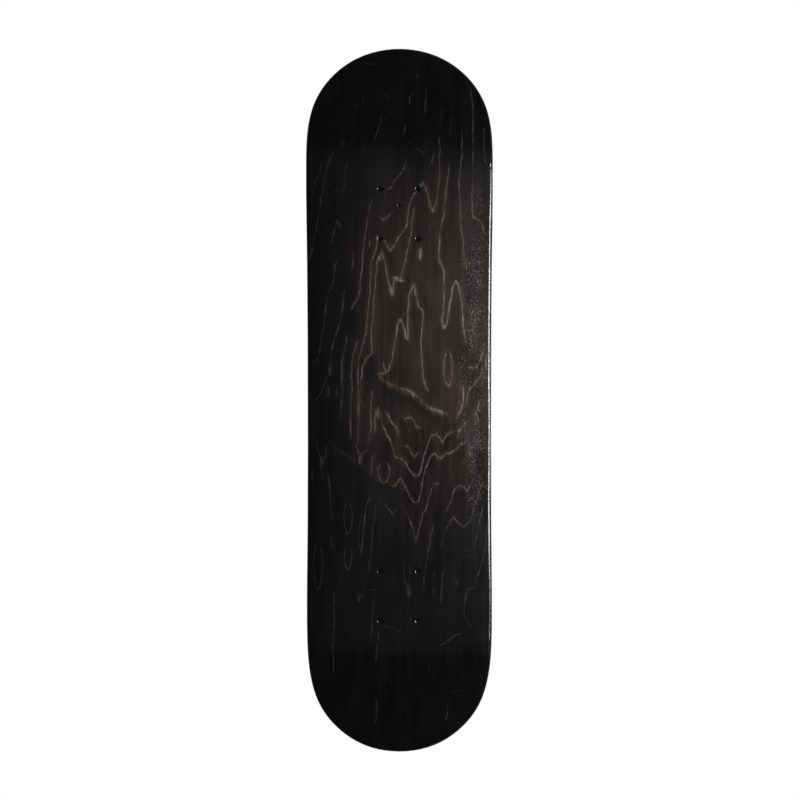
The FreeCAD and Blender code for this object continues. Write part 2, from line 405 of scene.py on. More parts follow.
FAINT_CROSS_LINES = (
    ((364, 63), (370, 64), (377, 65)),
    ((354, 106), (361, 106)),
    ((381, 113), (387, 120)),
    ((326, 122), (332, 121)),
    ((415, 148), (420, 150), (424, 154)),
    ((380, 153), (386, 157)),
    ((365, 590), (372, 590), (380, 591)),
    ((464, 555), (470, 555), (478, 557)),
    ((464, 551), (468, 550), (474, 551)),
    ((450, 692), (458, 690), (467, 693)),
    ((397, 677), (405, 676)),
)
print("lines across the board:", len(CROSS_LINES), "clear and", len(FAINT_CROSS_LINES), "faint")

# %% [markdown]
# Where the knife grazes the top of a ring, the line closes on itself and makes a slim eye. Each eye
# is given by its centre and how far it reaches across and down. Where it hardly cuts the ring, a
# pale spot is left. Each spot is a short line and a slimness: the smaller, the wider the spot.

# %% Eyes and pale spots
EYES = (
    ((448, 368), (4.4, 18)),
    ((384, 472), (5.9, 11)),
    ((348, 517), (4.2, 17)),
    ((348, 558), (4.0, 12)),
    ((318, 566), (4.5, 25)),
    ((407, 574), (3.2, 11)),
)
EYE_SIDES = 12
EYE_POINTEDNESS = 1.3
EYE_STRENGTH = 0.85


def eye(centre, reach):
    """The outline of an eye, from its top round to its top again, more pointed than an oval."""
    outline = []
    for i in range(EYE_SIDES + 1):
        turn = 2 * math.pi * i / EYE_SIDES
        out = math.copysign(abs(math.sin(turn)) ** EYE_POINTEDNESS, math.sin(turn))
        outline.append((centre[0] + reach[0] * out, centre[1] - reach[1] * math.cos(turn)))
    return tuple(outline)


PALE_SPOTS = (
    (((420, 246), (420, 262)), 0.30),
    (((331, 357), (330, 377)), 0.30),
    (((408, 583), (409, 599)), 0.25),
    (((392, 284), (392, 298)), 0.35),
    (((382, 250), (381, 262)), 0.30),
    (((378, 406), (378, 420)), 0.30),
    (((361, 451), (360, 466)), 0.35),
    (((322, 452), (321, 470)), 0.40),
    (((329, 384), (329, 398)), 0.35),
)
print("eyes:", len(EYES), "pale spots:", len(PALE_SPOTS))

# %% [markdown]
# A curves node bends a value by a drawn curve, and it bends three values at once. So each line is cut
# where it turns back, into strokes that are graphs, and three strokes at a time share the nodes. A
# stroke needs three curves: where it is, how strong it is, and how slim. It fades out at a free end,
# and is wider where it turns back. A steep stroke is made wider across, because its width is measured
# straight across and not square to it.

# %% Strokes
ACROSS, DOWN = 0, 1
LINE_HALF_WIDTH = 0.82
HAZE_HALF_WIDTH = 5.0
FADE = 7.0
FADES_PER_STROKE = 3
SHORTEST_STEP = 0.5
TURN_OVERLAP = 1.5
TURN_SLIMNESS = 0.36
TURN_REACH = 6.0
FAINT_STRENGTH = 0.7


def strokes(points, run):
    """Cuts a line into strokes that go one way, with whether each end is a turn of the line."""
    cuts = [0]
    for i in range(1, len(points) - 1):
        if (points[i][run] - points[i - 1][run]) * (points[i + 1][run] - points[i][run]) < 0:
            cuts.append(i)
    cuts.append(len(points) - 1)
    pieces = []
    for start, end in zip(cuts, cuts[1:]):
        piece = points[start:end + 1]
        turned = (start > 0, end < len(points) - 1)
        if piece[0][run] > piece[-1][run]:
            piece, turned = piece[::-1], turned[::-1]
        pieces.append((piece, turned))
    return pieces


def stroke_curves(piece, turned, run, strength, slimness=1.0):
    """Where a stroke is, how strong and how slim, as three curves, with its span and its reach."""
    low = piece[0][run] - TURN_OVERLAP
    high = piece[-1][run] + TURN_OVERLAP
    offsets = [point[1 - run] for point in piece]
    base, reach = min(offsets), max(max(offsets) - min(offsets), 1.0)

    def share(value):
        return (value - low) / (high - low)

    place = [(share(point[run]), (point[1 - run] - base) / reach) for point in piece]
    fade = min(FADE, (high - low) / FADES_PER_STROKE)
    ramp = [TURN_OVERLAP if turn else fade for turn in turned]
    weight = [(0, 0), (share(low + ramp[0]), strength), (share(high - ramp[1]), strength), (1, 0)]
    slim = []
    for here, there in zip(piece, piece[1:]):
        slope = (there[1 - run] - here[1 - run]) / max(abs(there[run] - here[run]), SHORTEST_STEP)
        slim.append((share((here[run] + there[run]) / 2), slimness / math.sqrt(1 + slope * slope)))
    if turned[0]:
        rest = [point for point in slim if point[0] > share(low + TURN_REACH)]
        slim = [(0, slim[0][1] * TURN_SLIMNESS)] + rest
    if turned[1]:
        rest = [point for point in slim if point[0] < share(high - TURN_REACH)]
        slim = rest + [(1, slim[-1][1] * TURN_SLIMNESS)]
    return (place, weight, slim), (low, high), (base, reach)


def cut(lines, run, strength=1.0):
    """The curves of every stroke of these lines."""
    return [stroke_curves(*piece, run, strength) for line in lines for piece in strokes(line, run)]


print("a stroke fades out over", FADE, "pixels")

# %% [markdown]
# Two more functions turn strokes into nodes. The first draws points on the curves of a node. The
# second measures how far each point of the wood lies from a stroke, and keeps the strongest mark
# found so far: a narrow one for the line, and a broad one for the haze of thin stain beside it.

# %% Nodes that draw the strokes
TRIO = 3
NO_SPAN = (-2, -1)
NO_REACH = (0, 1)
NO_CURVE = ((0, 0), (1, 0))


def shape_curves(node, all_points, handle="VECTOR"):
    """Draws each list of points on its own curve of a curves node, flat beyond its two ends."""
    node.mapping.extend = "HORIZONTAL"
    for curve, points in zip(node.mapping.curves, all_points):
        points = sorted(points)
        if len(points) == 1:
            points = [(0, points[0][1]), (1, points[0][1])]
        for i, (x, y) in enumerate(points):
            if i < 2:
                curve.points[i].location = (x, y)
            else:
                curve.points.new(x, y)
        for point in curve.points:
            point.handle_type = handle
    node.mapping.update()


def draw(tree, so_far, haze, all_strokes, run_value, offset_value):
    """Adds the nodes that draw strokes and their haze, three at a time, over what is drawn so far."""
    for i in range(0, len(all_strokes), TRIO):
        trio = all_strokes[i:i + TRIO]
        missing = TRIO - len(trio)
        spans = [span for _, span, _ in trio] + [NO_SPAN] * missing
        reaches = [reach for _, _, reach in trio] + [NO_REACH] * missing
        share = add(tree, "ShaderNodeVectorMath", {
            0: run_value,
            1: [1 / (high - low) for low, high in spans],
            2: [-low / (high - low) for low, high in spans],
        }, operation="MULTIPLY_ADD")
        bent = []
        for kind in range(3):
            node = add(tree, "ShaderNodeVectorCurve", {"Vector": share})
            shape_curves(node, [curves[kind] for curves, _, _ in trio] + [NO_CURVE] * missing)
            bent.append(node)
        place, strength, slimness = bent
        place = add(tree, "ShaderNodeVectorMath", {
            0: place, 1: [reach for _, reach in reaches], 2: [base for base, _ in reaches],
        }, operation="MULTIPLY_ADD")
        gap = add(tree, "ShaderNodeVectorMath", {0: offset_value, 1: place}, operation="SUBTRACT")
        gap = add(tree, "ShaderNodeVectorMath", {0: gap}, operation="ABSOLUTE")
        mark = add(tree, "ShaderNodeVectorMath", {
            0: gap, 1: [-1 / HAZE_HALF_WIDTH] * TRIO, 2: strength,
        }, operation="MULTIPLY_ADD")
        haze = add(tree, "ShaderNodeVectorMath", {0: haze, 1: mark}, operation="MAXIMUM")
        gap = add(tree, "ShaderNodeVectorMath", {0: gap, 1: slimness}, operation="MULTIPLY")
        mark = add(tree, "ShaderNodeVectorMath", {
            0: gap, 1: [-1 / LINE_HALF_WIDTH] * TRIO, 2: strength,
        }, operation="MULTIPLY_ADD")
        so_far = add(tree, "ShaderNodeVectorMath", {0: so_far, 1: mark}, operation="MAXIMUM")
    return so_far, haze


down_strokes = cut(CLEAR_LINES, DOWN) + cut(FAINT_LINES, DOWN, FAINT_STRENGTH)
down_strokes += cut([eye(*place) for place in EYES], DOWN, EYE_STRENGTH)
for points, slimness in PALE_SPOTS:
    down_strokes.append(stroke_curves(points, (False, False), DOWN, 1.0, slimness))
cross_strokes = cut(CROSS_LINES, ACROSS) + cut(FAINT_CROSS_LINES, ACROSS, FAINT_STRENGTH)
print("strokes along and across:", len(down_strokes), len(cross_strokes))

# %% [markdown]
# The strokes go into a node group, a small tree that other trees use as one node. It starts from the
# wood's own coordinates, turns them into the pixels in which the lines were drawn, and shakes them a
# little, because a growth ring in wood is never a clean curve. Wood that lies higher is farther from
# the camera, so it is shrunk towards the middle first. Two soft oval masks are made beside the
# lines: one in the middle of the board for a painted pool of light, and one along the right rail
# for the lacquer's pits and painted glints.

# %% Figure of the underside
PICTURE_SIZE = 800
PICTURE_MIDDLE = PICTURE_SIZE / 2
PIXEL = FRAME_WIDTH / PICTURE_SIZE
SHAKE = (3.6, 6.0, 0.0)
SHAKE_SIZE = 2.6 * MM
SHAKE_STRETCH = 0.25
# Where the painted pool of light lies, in pixels.
LIGHT_POOL_PLACE = (425, 350)
LIGHT_POOL_REACH = (72, 160)
# Where the pits go deepest and the glints are painted, in pixels.
PIT_AND_GLINT_PLACE = (476, 360)
PIT_AND_GLINT_REACH = (17, 150)
MASK_OUTER = 1.45
MASK_INNER = 0.35

figure = bpy.data.node_groups.new("figure of the underside", "ShaderNodeTree")
for name in ("Lines", "Haze", "Crest and painted highlight", "Hollow and painted shade", "Middle", "Pits and painted glints"):
    figure.interface.new_socket(name, in_out="OUTPUT", socket_type="NodeSocketFloat")
wood_point = add(figure, "ShaderNodeTexCoord").outputs["Object"]
shake = add(figure, "ShaderNodeVectorMath", {
    0: wood_point, 1: (SHAKE_STRETCH / SHAKE_SIZE, 1 / SHAKE_SIZE, 1 / SHAKE_SIZE),
}, operation="MULTIPLY")
shake = add(figure, "ShaderNodeTexNoise", {"Vector": shake, "Scale": 1.0, "Detail": 3.0})
parts = add(figure, "ShaderNodeSeparateXYZ", {0: wood_point})
shrink = add(figure, "ShaderNodeMath", {0: parts.outputs["Z"], 1: 1 / CAMERA_DISTANCE, 2: 1.0},
             operation="MULTIPLY_ADD")
flat_point = add(figure, "ShaderNodeVectorMath", {0: wood_point, 1: AIM}, operation="SUBTRACT")
flat_point = add(figure, "ShaderNodeVectorMath", {0: flat_point, "Scale": 1 / PIXEL}, operation="SCALE")
shrink_vector = add(figure, "ShaderNodeCombineXYZ", {0: shrink, 1: shrink, 2: shrink})
flat_point = add(figure, "ShaderNodeVectorMath", {0: flat_point, 1: shrink_vector}, operation="DIVIDE")
sides = add(figure, "ShaderNodeSeparateXYZ", {0: flat_point})
shaken = add(figure, "ShaderNodeVectorMath", {
    0: shake.outputs["Color"], 1: SHAKE, 2: [PICTURE_MIDDLE - amount / 2 for amount in SHAKE],
}, operation="MULTIPLY_ADD")
shaken = add(figure, "ShaderNodeSeparateXYZ", {0: shaken})
across = add(figure, "ShaderNodeMath", {0: shaken.outputs["X"], 1: sides.outputs["Y"]}, operation="ADD")
down = add(figure, "ShaderNodeMath", {
    0: shaken.outputs["Y"], 1: sides.outputs["X"],
}, operation="SUBTRACT")
across_trio = add(figure, "ShaderNodeCombineXYZ", {0: across, 1: across, 2: across})
down_trio = add(figure, "ShaderNodeCombineXYZ", {0: down, 1: down, 2: down})
nothing = add(figure, "ShaderNodeCombineXYZ")
drawn, haze = draw(figure, nothing, nothing, down_strokes, down_trio, across_trio)
drawn, haze = draw(figure, drawn, haze, cross_strokes, across_trio, down_trio)
strongest = []
for marks in (drawn, haze):
    marks = add(figure, "ShaderNodeSeparateXYZ", {0: marks}).outputs
    most = add(figure, "ShaderNodeMath", {0: marks["X"], 1: marks["Y"]}, operation="MAXIMUM")
    most = add(figure, "ShaderNodeMath", {0: most, 1: marks["Z"]}, operation="MAXIMUM")
    strongest.append(most)
lines, hazes = strongest
masks = []
for place, reach in ((LIGHT_POOL_PLACE, LIGHT_POOL_REACH), (PIT_AND_GLINT_PLACE, PIT_AND_GLINT_REACH)):
    from_place = add(figure, "ShaderNodeCombineXYZ", {0: across, 1: down})
    from_place = add(figure, "ShaderNodeVectorMath", {
        0: from_place,
        1: (1 / reach[0], 1 / reach[1], 0),
        2: (-place[0] / reach[0], -place[1] / reach[1], 0),
    }, operation="MULTIPLY_ADD")
    from_place = add(figure, "ShaderNodeVectorMath", {0: from_place}, operation="LENGTH")
    masks.append(add(figure, "ShaderNodeMapRange", {
        "Value": from_place.outputs["Value"], "From Min": MASK_OUTER, "From Max": MASK_INNER,
    }, interpolation_type="SMOOTHSTEP"))
print("nodes that draw the lines:", len(figure.nodes))

# %% [markdown]
# Below its middle the face is creased: a soft ridge runs askew across the grain, with a hollow under
# it, and a fainter one follows lower down. The crest is painted paler, a painted highlight, and the
# hollow darker, a painted shade. Both are drawn like the lines: a place for each point across the
# board, and a profile over the distance from there down.

# %% Creases
CREASE_SHAKE = 0.4
CREASE_ABOVE = 10.0
CREASE_BELOW = 30.0
CREST_PROFILE = (
    (0, 0), (0.16, 0.05), (0.20, 0.4), (0.24, 1.0), (0.28, 0.6), (0.34, 0.2), (0.42, 0), (1, 0),
)
HOLLOW_PROFILE = ((0, 0), (0.30, 0), (0.38, 0.8), (0.46, 1.0), (0.60, 0.5), (0.75, 0.1), (1, 0))
RIDGE = (
    (377, 374), (380, 378), (385, 382), (393, 386), (401, 389), (407, 391), (412, 393), (417, 397),
    (422, 402), (427, 407), (434, 410), (442, 413), (450, 415),
)
RIDGE_CREST = (
    (0, 0), (0.03, 0.6), (0.10, 0.4), (0.32, 0.35), (0.38, 0.85), (0.48, 0.9), (0.56, 0.4),
    (0.68, 0.45), (0.74, 1.0), (0.88, 0.9), (0.95, 0.3), (1, 0),
)
RIDGE_HOLLOW = ((0, 0), (0.15, 1.0), (0.8, 0.8), (1, 0))
LOWER_FOLD = (
    (326, 440), (333, 446), (341, 452), (351, 458), (363, 467), (375, 476), (388, 482), (402, 486),
    (420, 492),
)
LOWER_CREST = ((0, 0), (0.10, 0.08), (0.25, 0.12), (0.40, 0.02), (0.75, 0.05), (1, 0))
LOWER_HOLLOW = ((0, 0), (0.15, 0.9), (0.75, 0.9), (1, 0))

smooth_across = add(figure, "ShaderNodeMath", {
    0: sides.outputs["Y"], 1: PICTURE_MIDDLE,
}, operation="ADD")
smooth_down = add(figure, "ShaderNodeMath", {
    0: PICTURE_MIDDLE, 1: sides.outputs["X"],
}, operation="SUBTRACT")
less_shaken = add(figure, "ShaderNodeMix", {
    "Factor": CREASE_SHAKE, "A": smooth_down, "B": down,
}, data_type="FLOAT")


def crease(points, crest_strength, hollow_strength):
    """The crest and the hollow of a fold that passes through these points."""
    start, end = points[0][0], points[-1][0]
    top, bottom = points[0][1], points[-1][1]
    share = add(figure, "ShaderNodeMapRange", {
        "Value": smooth_across, "From Min": start, "From Max": end,
    })
    place = add(figure, "ShaderNodeFloatCurve", {"Value": share})
    path = [((x - start) / (end - start), (y - top) / (bottom - top)) for x, y in points]
    shape_curves(place, [path], "AUTO")
    place = add(figure, "ShaderNodeMath", {0: place, 1: bottom - top, 2: top}, operation="MULTIPLY_ADD")
    below = add(figure, "ShaderNodeMath", {0: less_shaken, 1: place}, operation="SUBTRACT")
    below = add(figure, "ShaderNodeMapRange", {
        "Value": below, "From Min": -CREASE_ABOVE, "From Max": CREASE_BELOW,
    })
    results = []
    for profile, strength in ((CREST_PROFILE, crest_strength), (HOLLOW_PROFILE, hollow_strength)):
        height = add(figure, "ShaderNodeFloatCurve", {"Value": below})
        shape_curves(height, [profile], "AUTO")
        fade = add(figure, "ShaderNodeFloatCurve", {"Value": share})
        shape_curves(fade, [strength])
        results.append(add(figure, "ShaderNodeMath", {0: height, 1: fade}, operation="MULTIPLY"))
    return results


ridge_crest, ridge_hollow = crease(RIDGE, RIDGE_CREST, RIDGE_HOLLOW)
lower_crest, lower_hollow = crease(LOWER_FOLD, LOWER_CREST, LOWER_HOLLOW)
crests = add(figure, "ShaderNodeMath", {0: ridge_crest, 1: lower_crest}, operation="MAXIMUM")
hollows = add(figure, "ShaderNodeMath", {0: ridge_hollow, 1: lower_hollow}, operation="MAXIMUM")
ends = add(figure, "NodeGroupOutput", {
    "Lines": lines, "Haze": hazes, "Crest and painted highlight": crests, "Hollow and painted shade": hollows,
    "Middle": masks[0], "Pits and painted glints": masks[1],
})
ends.is_active_output = True
print("nodes in the whole figure:", len(figure.nodes))

# %% [markdown]
# Black-stained maple, lacquered. Stain soaks into the wood unevenly: long streaks and short pores
# take more or less of it. Noise that is stretched along the grain draws them, each with its real
# size and a seed of its own. The holes matter too: their walls drank more stain, and the drill broke
# the edge at their mouths. Both follow from how far a point lies from the nearest hole.

# %% Helpers for wood
HOLE_EDGE = 0.1 * MM
CHAMFER_WIDTH = 0.9 * MM
CHAMFER_DEPTH = 0.33 * MM
FINISH_IOR = 1.5


def stretched_noise(tree, size, detail=2.0, seed=0.0):
    """Noise whose patches are as long, wide and high as the given size."""
    point = add(tree, "ShaderNodeTexCoord").outputs["Object"]
    point = add(tree, "ShaderNodeVectorMath", {
        0: point, 1: [1 / length for length in size], 2: (seed, seed, seed),
    }, operation="MULTIPLY_ADD")
    return add(tree, "ShaderNodeTexNoise", {"Vector": point, "Scale": 1.0, "Detail": detail})


def hole_distance(tree):
    """How far a point lies outside the nearest hole, by folding the board onto one hole."""
    point = add(tree, "ShaderNodeTexCoord").outputs["Object"]
    folded = add(tree, "ShaderNodeVectorMath", {0: point}, operation="ABSOLUTE")
    folded = add(tree, "ShaderNodeVectorMath", {
        0: folded, 1: ((WHEELBASE + HOLE_ROW_SPACING) / 2, HOLE_CROSS_SPACING / 2, 0),
    }, operation="SUBTRACT")
    folded = add(tree, "ShaderNodeVectorMath", {0: folded}, operation="ABSOLUTE")
    folded = add(tree, "ShaderNodeVectorMath", {
        0: folded, 1: (1, 1, 0), 2: (-HOLE_ROW_SPACING / 2, 0, 0),
    }, operation="MULTIPLY_ADD")
    radius = add(tree, "ShaderNodeVectorMath", {0: folded}, operation="LENGTH").outputs["Value"]
    outside = add(tree, "ShaderNodeMath", {0: radius, 1: HOLE_RADIUS}, operation="SUBTRACT")
    beside = add(tree, "ShaderNodeVectorMath", {
        0: point, 1: (1, 1, 0), 2: (-marker_place, 0, 0),
    }, operation="MULTIPLY_ADD")
    radius = add(tree, "ShaderNodeVectorMath", {0: beside}, operation="LENGTH").outputs["Value"]
    outside_marker = add(tree, "ShaderNodeMath", {0: radius, 1: MARKER_RADIUS}, operation="SUBTRACT")
    return add(tree, "ShaderNodeMath", {0: outside, 1: outside_marker}, operation="MINIMUM")


def stain_hole_walls(tree, wood, outside_hole):
    """The colour of the wood, with the dark brown of the hole walls where a hole is."""
    in_hole = add(tree, "ShaderNodeMapRange", {
        "Value": outside_hole, "From Min": HOLE_EDGE, "From Max": HOLE_EDGE / 3,
    })
    return add(tree, "ShaderNodeMix", {
        0: in_hole, 6: wood.outputs[2], 7: colour("#120E0B"),
    }, data_type="RGBA")


def hole_mouths(tree, outside_hole):
    """How high the face stands, which dips towards the broken edge of each hole."""
    return add(tree, "ShaderNodeMapRange", {
        "Value": outside_hole, "From Min": 0, "From Max": CHAMFER_WIDTH,
        "To Min": 0, "To Max": CHAMFER_DEPTH,
    }, interpolation_type="SMOOTHSTEP")


print("a pixel of the photograph is", round(PIXEL / MM, 3), "mm of the deck")

# %% [markdown]
# The underside starts with its stain. Streaks, clouds and fibres add up to one tone, from black to a
# little paler. In the middle of the board it is painted paler and browner: a painted pool of light.

# %% Stain of the underside
STREAK_SIZE = (110 * MM, 6 * MM, 30 * MM)
CLOUD_SIZE = (55 * MM, 20 * MM, 60 * MM)
FIBRE_SIZE = (30 * MM, 1.6 * MM, 1.6 * MM)
FIBRE_SHARE = 0.5
TONE_RANGE = (1.0, 1.5)

under, tree = new_material("black-stained maple face, lacquered")
drawn = add(tree, "ShaderNodeGroup")
drawn.node_tree = figure
streaks = stretched_noise(tree, STREAK_SIZE)
clouds = stretched_noise(tree, CLOUD_SIZE, seed=3.7)
fibres = stretched_noise(tree, FIBRE_SIZE, detail=3.0, seed=9.1)
tone = add(tree, "ShaderNodeMath", {0: streaks, 1: clouds}, operation="ADD")
tone = add(tree, "ShaderNodeMath", {0: fibres, 1: FIBRE_SHARE, 2: tone}, operation="MULTIPLY_ADD")
tone = add(tree, "ShaderNodeMapRange", {
    "Value": tone, "From Min": TONE_RANGE[0], "From Max": TONE_RANGE[1],
})
stain = add(tree, "ShaderNodeMix", {
    0: tone, 6: colour("#050505"), 7: colour("#0E0D0C"),
}, data_type="RGBA")
# In the middle the stain is painted paler and browner: a painted pool of light.
painted_lit_stain = add(tree, "ShaderNodeMix", {
    0: tone, 6: colour("#100D0B"), 7: colour("#332924"),
}, data_type="RGBA")
wood = add(tree, "ShaderNodeMix", {
    0: drawn.outputs["Middle"], 6: stain.outputs[2], 7: painted_lit_stain.outputs[2],
}, data_type="RGBA")
print("streaks are", STREAK_SIZE[1] / MM, "mm wide and fibres", FIBRE_SIZE[1] / MM, "mm")

# %% [markdown]
# Then the figure. The wood is nearly bare along a line, and short fibres break the line up. A faint
# haze of thinner stain lies beside it. The lines and their haze are painted strongest in the middle
# of the board and fade towards the nose and the tail: a painted falloff of light.

# %% Lines in the stain
HAZE_STRENGTH = 0.20
BREAK_SIZE = (14 * MM, 2.2 * MM, 2.2 * MM)
BREAK_RANGE = (0.36, 0.66)
BREAK_STRENGTH = (0.15, 1.0)
PAINTED_LIGHT_LINE_STRENGTH = (0.20, 1.0)

# The haze shows only in the painted pool of light.
haze = add(tree, "ShaderNodeMath", {
    0: drawn.outputs["Haze"], 1: drawn.outputs["Middle"],
}, operation="MULTIPLY")
haze = add(tree, "ShaderNodeMath", {0: haze, 1: HAZE_STRENGTH}, operation="MULTIPLY")
wood = add(tree, "ShaderNodeMix", {0: haze, 6: wood.outputs[2], 7: colour("#6A5F56")}, data_type="RGBA")
breaks = stretched_noise(tree, BREAK_SIZE, detail=3.0, seed=12.9)
broken = add(tree, "ShaderNodeMapRange", {
    "Value": breaks, "From Min": BREAK_RANGE[0], "From Max": BREAK_RANGE[1],
    "To Min": BREAK_STRENGTH[0], "To Max": BREAK_STRENGTH[1],
})
# Lines fade away from the painted pool of light: a painted falloff of light.
painted_light_on_lines = add(tree, "ShaderNodeMapRange", {
    "Value": drawn.outputs["Middle"], "To Min": PAINTED_LIGHT_LINE_STRENGTH[0], "To Max": PAINTED_LIGHT_LINE_STRENGTH[1],
})
line_in_painted_light = add(tree, "ShaderNodeMath", {0: drawn.outputs["Lines"], 1: broken}, operation="MULTIPLY")
line_in_painted_light = add(tree, "ShaderNodeMath", {0: line_in_painted_light, 1: painted_light_on_lines}, operation="MULTIPLY")
wood = add(tree, "ShaderNodeMix", {
    0: line_in_painted_light, 6: wood.outputs[2], 7: colour("#938B83"),
}, data_type="RGBA")
print("a line is", round(2 * LINE_HALF_WIDTH * PIXEL / MM, 1), "mm wide at its foot")

# %% [markdown]
# Painted light comes last in colour. Along the right rail pale specks are painted in patches: painted
# glints where the lacquer's pits catch a lamp. At the creases the hollow is painted darker, a painted
# shade, and the crest paler in places, a painted highlight.

# %% Painted glints, and the painted shade and highlight of the creases
SPECK_SIZE = (1.9 * MM, 1.3 * MM, 1.3 * MM)
SPECK_RANGE = (0.55, 0.72)
PATCH_SIZE = (28 * MM, 14 * MM, 30 * MM)
PATCH_RANGE = (0.40, 0.60)
PATCH_STRENGTH = (0.12, 0.85)
HOLLOW_PAINTED_SHADE_STRENGTH = 0.75
CREST_PAINTED_HIGHLIGHT_RANGE = (0.40, 0.60)
CREST_PAINTED_HIGHLIGHT_STRENGTH = (0.2, 0.95)

# Pale specks along the right rail: painted glints of light.
painted_glints = stretched_noise(tree, SPECK_SIZE, detail=1.0, seed=17.7)
painted_glints = add(tree, "ShaderNodeMapRange", {
    "Value": painted_glints, "From Min": SPECK_RANGE[0], "From Max": SPECK_RANGE[1],
})
patches = add(tree, "ShaderNodeMapRange", {
    "Value": stretched_noise(tree, PATCH_SIZE, seed=30.1),
    "From Min": PATCH_RANGE[0], "From Max": PATCH_RANGE[1],
    "To Min": PATCH_STRENGTH[0], "To Max": PATCH_STRENGTH[1],
})
pit_and_painted_glint_patches = add(tree, "ShaderNodeMath", {0: patches, 1: drawn.outputs["Pits and painted glints"]}, operation="MULTIPLY")
painted_glints = add(tree, "ShaderNodeMath", {0: painted_glints, 1: pit_and_painted_glint_patches}, operation="MULTIPLY")
wood = add(tree, "ShaderNodeMix", {
    0: painted_glints, 6: wood.outputs[2], 7: colour("#85807C"),
}, data_type="RGBA")
# The hollows are painted darker: a painted shade.
painted_hollow_shade = add(tree, "ShaderNodeMath", {
    0: drawn.outputs["Hollow and painted shade"], 1: HOLLOW_PAINTED_SHADE_STRENGTH,
}, operation="MULTIPLY")
wood = add(tree, "ShaderNodeMix", {
    0: painted_hollow_shade, 6: wood.outputs[2], 7: colour("#070606"),
}, data_type="RGBA")
# The crests are painted paler in places: a painted highlight.
painted_crest_highlight = add(tree, "ShaderNodeMapRange", {
    "Value": breaks, "From Min": CREST_PAINTED_HIGHLIGHT_RANGE[0], "From Max": CREST_PAINTED_HIGHLIGHT_RANGE[1],
    "To Min": CREST_PAINTED_HIGHLIGHT_STRENGTH[0], "To Max": CREST_PAINTED_HIGHLIGHT_STRENGTH[1],
})
painted_crest_highlight = add(tree, "ShaderNodeMath", {0: drawn.outputs["Crest and painted highlight"], 1: painted_crest_highlight}, operation="MULTIPLY")
wood = add(tree, "ShaderNodeMix", {
    0: painted_crest_highlight, 6: wood.outputs[2], 7: colour("#7A726B"),
}, data_type="RGBA")
outside_hole = hole_distance(tree)
wood = stain_hole_walls(tree, wood, outside_hole)
print("specks are", SPECK_SIZE[0] / MM, "mm long, in patches of", PATCH_SIZE[0] / MM, "mm")

# %% [markdown]
# The lacquer makes black wood shine. Its surface isn't quite flat. It rises over the ridge and dips
# at the mouths of the holes, it sinks into the pores as tiny pits that glint where light comes in
# low, and it has an unevenness of its own, like the peel of an orange. The pits are deepest along the
# right rail, where the glints are painted, and fade out where the face turns over into the rounded
# rim, which was sanded smooth.

# %% Lacquer of the underside
LACQUER_ROUGHNESS = (0.19, 0.27)
HOLLOW_ROUGHNESS = 0.08
RIDGE_HEIGHT = 0.7 * MM
PIT_SIZE = (2.6 * MM, 1.7 * MM, 1.7 * MM)
PIT_REACH = 0.45
PIT_DEPTH = 0.16 * MM
SHALLOW_PIT_DEPTH = PIT_DEPTH / 5
PEEL_SIZE = (2.2 * MM, 1.6 * MM, 1.6 * MM)
PEEL_HEIGHT = 0.03 * MM
RIM_STEEPNESS = -0.6
FACE_STEEPNESS = -0.95

gloss = add(tree, "ShaderNodeMapRange", {
    "Value": tone, "To Min": LACQUER_ROUGHNESS[0], "To Max": LACQUER_ROUGHNESS[1],
})
gloss = add(tree, "ShaderNodeMath", {
    0: drawn.outputs["Hollow and painted shade"], 1: HOLLOW_ROUGHNESS, 2: gloss,
}, operation="MULTIPLY_ADD")
height = add(tree, "ShaderNodeMath", {
    0: drawn.outputs["Crest and painted highlight"], 1: RIDGE_HEIGHT, 2: hole_mouths(tree, outside_hole),
}, operation="MULTIPLY_ADD")
large_bump = add(tree, "ShaderNodeBump", {"Height": height, "Strength": 1.0, "Distance": 1.0})
pit_point = add(tree, "ShaderNodeTexCoord").outputs["Object"]
pit_point = add(tree, "ShaderNodeVectorMath", {
    0: pit_point, 1: [1 / length for length in PIT_SIZE],
}, operation="MULTIPLY")
pits = add(tree, "ShaderNodeTexVoronoi", {"Vector": pit_point, "Scale": 1.0}, voronoi_dimensions="2D")
pits = add(tree, "ShaderNodeMapRange", {
    "Value": pits.outputs["Distance"], "From Min": 0.0, "From Max": PIT_REACH,
    "To Min": -1.0, "To Max": 0.0,
}, interpolation_type="SMOOTHSTEP")
peel = stretched_noise(tree, PEEL_SIZE, detail=2.0, seed=5.3)
peel = add(tree, "ShaderNodeMath", {0: peel, 1: PEEL_HEIGHT}, operation="MULTIPLY")
pit_depth = add(tree, "ShaderNodeMapRange", {
    "Value": pit_and_painted_glint_patches, "To Min": SHALLOW_PIT_DEPTH, "To Max": PIT_DEPTH,
})
fine_height = add(tree, "ShaderNodeMath", {0: pits, 1: pit_depth, 2: peel}, operation="MULTIPLY_ADD")
steepness = add(tree, "ShaderNodeNewGeometry").outputs["Normal"]
steepness = add(tree, "ShaderNodeSeparateXYZ", {0: steepness}).outputs["Z"]
level = add(tree, "ShaderNodeMapRange", {
    "Value": steepness, "From Min": RIM_STEEPNESS, "From Max": FACE_STEEPNESS,
})
fine_height = add(tree, "ShaderNodeMath", {0: fine_height, 1: level}, operation="MULTIPLY")
fine_bump = add(tree, "ShaderNodeBump", {
    "Height": fine_height, "Strength": 1.0, "Distance": 1.0, "Normal": large_bump,
})
finish = add(tree, "ShaderNodeBsdfPrincipled", {
    "Base Color": wood.outputs[2], "Roughness": gloss, "IOR": FINISH_IOR, "Normal": fine_bump,
})
add(tree, "ShaderNodeOutputMaterial", {"Surface": finish})
print("nodes in the underside's finish:", len(tree.nodes))

